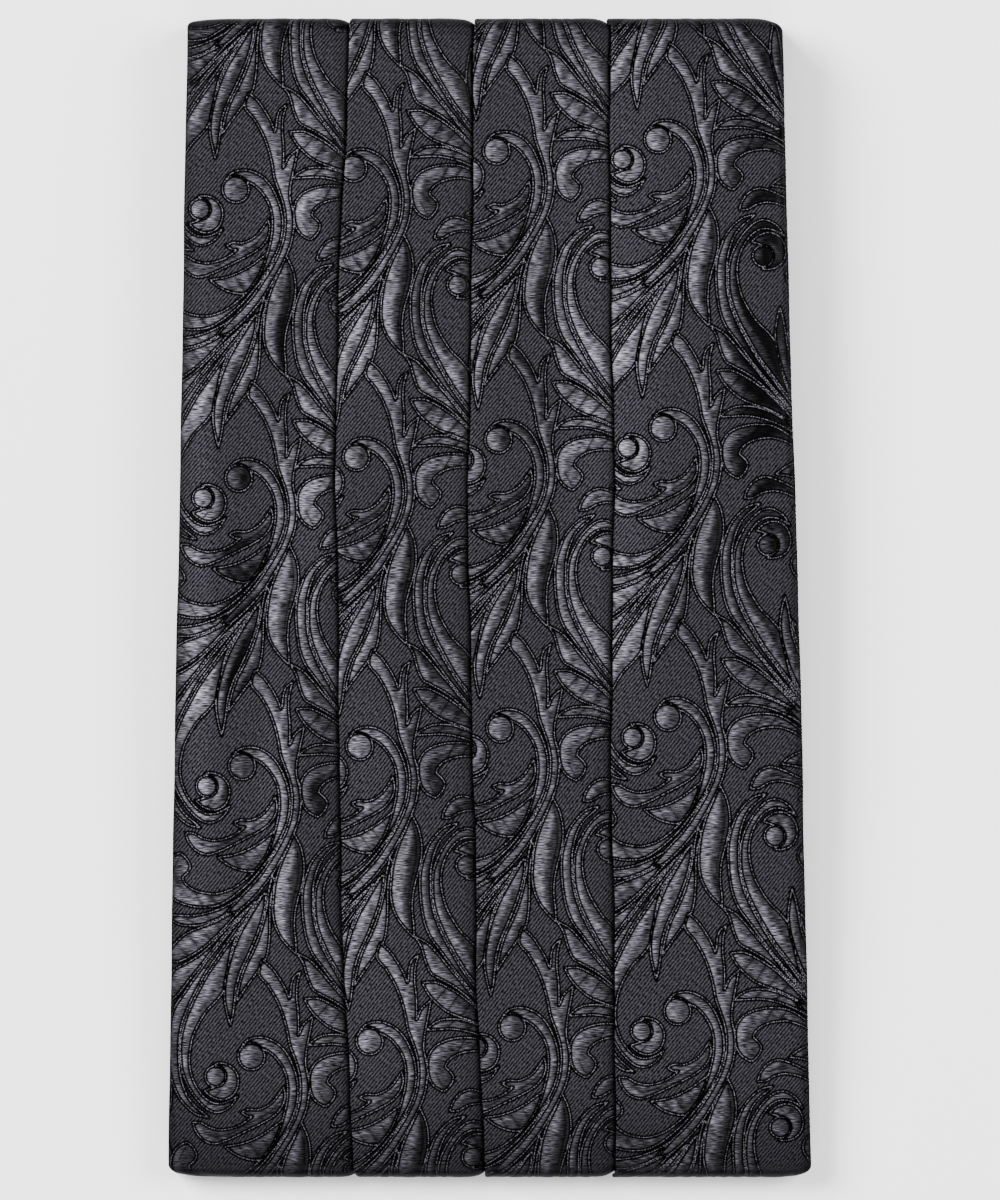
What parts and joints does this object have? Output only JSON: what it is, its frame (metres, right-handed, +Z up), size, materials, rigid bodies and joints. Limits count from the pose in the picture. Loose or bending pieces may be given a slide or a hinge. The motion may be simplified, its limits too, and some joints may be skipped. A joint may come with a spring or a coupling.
{
  "type": "cummerbund",
  "caption": "Pleated dress cummerbund in black and charcoal foliate jacquard, folded in half with its tapered ends and strap turned in between the halves.",
  "frame": {"origin": "on the floor, below the middle of the folded sash's box", "axes": "+X across the pleats, +Y from the centre front fold to the end folds, +Z up from the floor"},
  "size_m": [0.1474, 0.266, 0.0147],
  "materials": {
    "jacquard_cloth": "black and charcoal silk-like jacquard with a foliate scroll",
    "strap_webbing": "plain black woven webbing",
    "clasp_metal": "satin black"
  },
  "bodies": {
    "root": {"pleated_sash": "jacquard_cloth", "short_strap": "strap_webbing", "long_strap": "strap_webbing", "clasp": "clasp_metal"}
  },
  "joints": []
}
